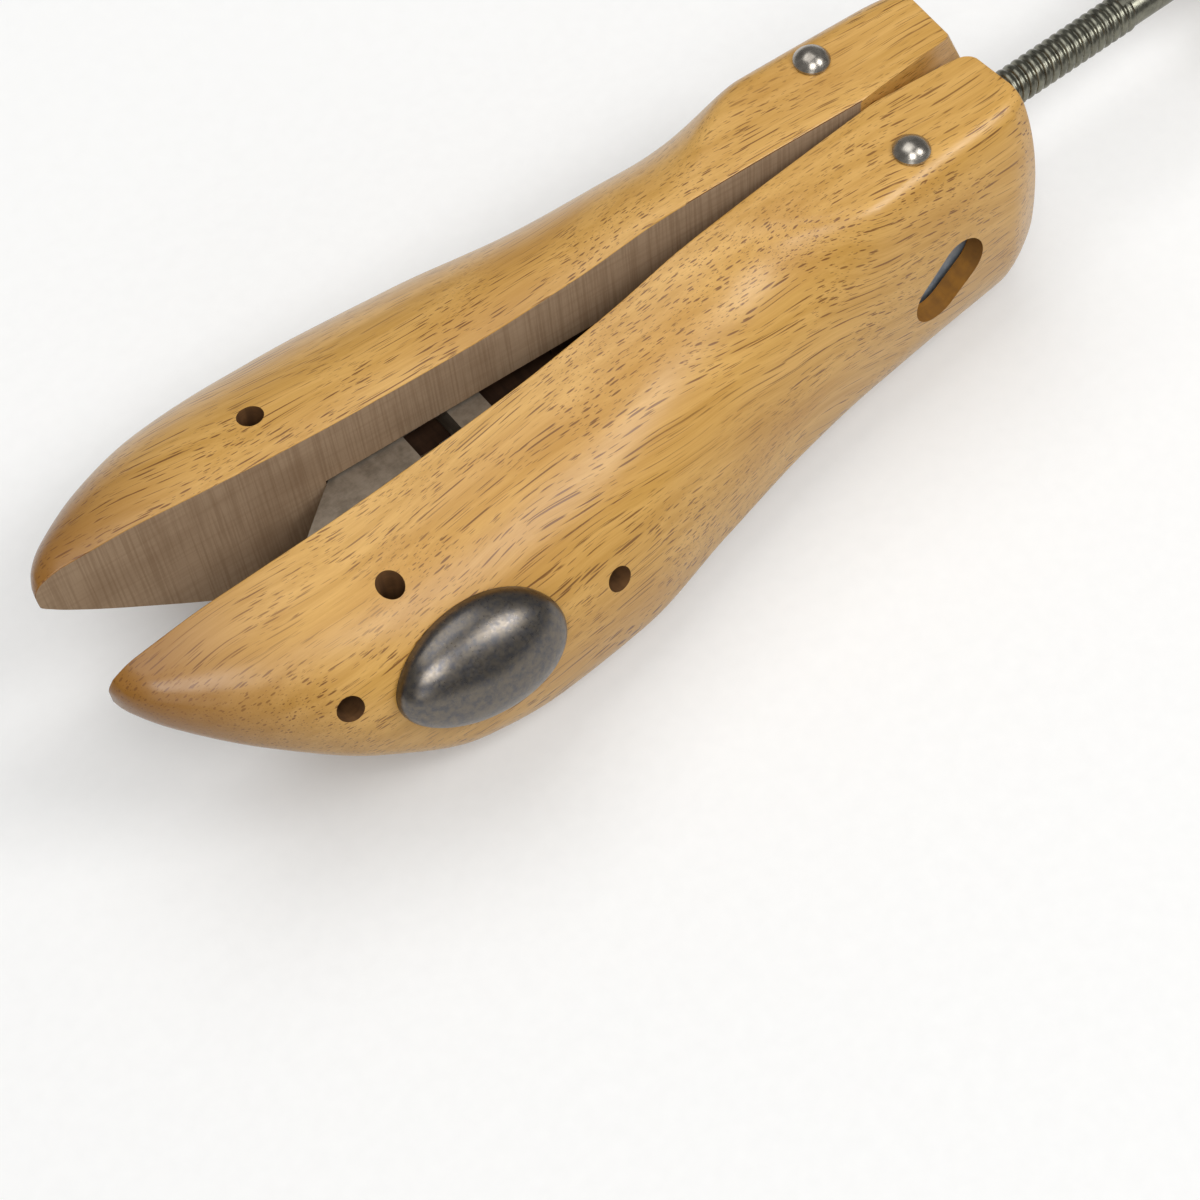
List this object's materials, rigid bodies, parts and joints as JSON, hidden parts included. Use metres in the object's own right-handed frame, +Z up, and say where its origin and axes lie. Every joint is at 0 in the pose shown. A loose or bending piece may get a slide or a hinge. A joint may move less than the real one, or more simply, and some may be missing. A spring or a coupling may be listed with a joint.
{
  "type": "shoe stretcher",
  "caption": "Wooden shoe stretcher: hinged half lasts that a wedge on a threaded spindle spreads apart, with a cross handle and a bunion plug in a side peg hole.",
  "frame": {"origin": "middle of the sole plane under the whole bounding box", "axes": "+X toward the handle along the spindle, -X toward the toe, +Y toward the far half, +Z up from the sole"},
  "size_m": [0.3072, 0.1, 0.0565],
  "materials": {
    "varnished_wood": "glossy clear varnish, sawn faces bare",
    "grip_wood": "glossy clear varnish",
    "zinc_steel": "satin zinc plate",
    "brass": "turned",
    "polished_steel": "polished",
    "spring_steel": "oiled",
    "grey_steel": "mill finish",
    "nickel_steel": "rolled, satin nickel plate",
    "cast_alloy": "cast and tumbled"
  },
  "bodies": {
    "yoke": {"hinge_yoke": "zinc_steel", "threaded_bush": "brass", "far_pivot_rivet": "polished_steel", "near_pivot_rivet": "polished_steel", "rivet_washers": "zinc_steel"},
    "far_half": {"far_last_half": "varnished_wood", "far_return_spring": "spring_steel"},
    "near_half": {"near_last_half": "varnished_wood", "near_return_spring": "spring_steel"},
    "wedge": {"wedge_block": "grey_steel"},
    "spindle": {"spindle": "nickel_steel", "thrust_washer": "brass", "retaining_collar": "zinc_steel", "collar_pin": "zinc_steel", "handle_grip": "grip_wood", "handle_ferrule": "polished_steel", "handle_washer": "zinc_steel", "handle_nut": "polished_steel", "handle_pin": "zinc_steel"},
    "plug": {"bunion_plug": "cast_alloy", "plug_stem": "zinc_steel"}
  },
  "joints": [
    {"name": "wedge_slide", "type": "slide", "parent": "yoke", "child": "wedge", "axis": [-1, 0, 0], "range_m": [-0.0101, 0.0112]},
    {"name": "spindle_turn", "type": "hinge", "parent": "wedge", "child": "spindle", "pos_m": [-0.07, 0, 0.0302], "axis": [-1, 0, 0], "range_deg": [-1808, 2009]},
    {"name": "far_hinge", "type": "hinge", "parent": "yoke", "child": "far_half", "pos_m": [0.01838, 0.014, 0], "axis": [0, 0, -1], "range_deg": [-3.6, 4]},
    {"name": "near_hinge", "type": "hinge", "parent": "yoke", "child": "near_half", "pos_m": [0.01838, -0.014, 0], "axis": [0, 0, 1], "range_deg": [-3.6, 4]},
    {"name": "plug_pull", "type": "slide", "parent": "near_half", "child": "plug", "axis": [0.0304, -0.8285, 0.5592], "range_m": [0, 0.014]}
  ],
  "couplings": [
    {"joint": "wedge_slide", "follows": "spindle_turn", "m_per_rad": 0.00031831},
    {"joint": "far_hinge", "follows": "spindle_turn", "ratio": 0.0019894},
    {"joint": "near_hinge", "follows": "spindle_turn", "ratio": 0.0019894}
  ]
}
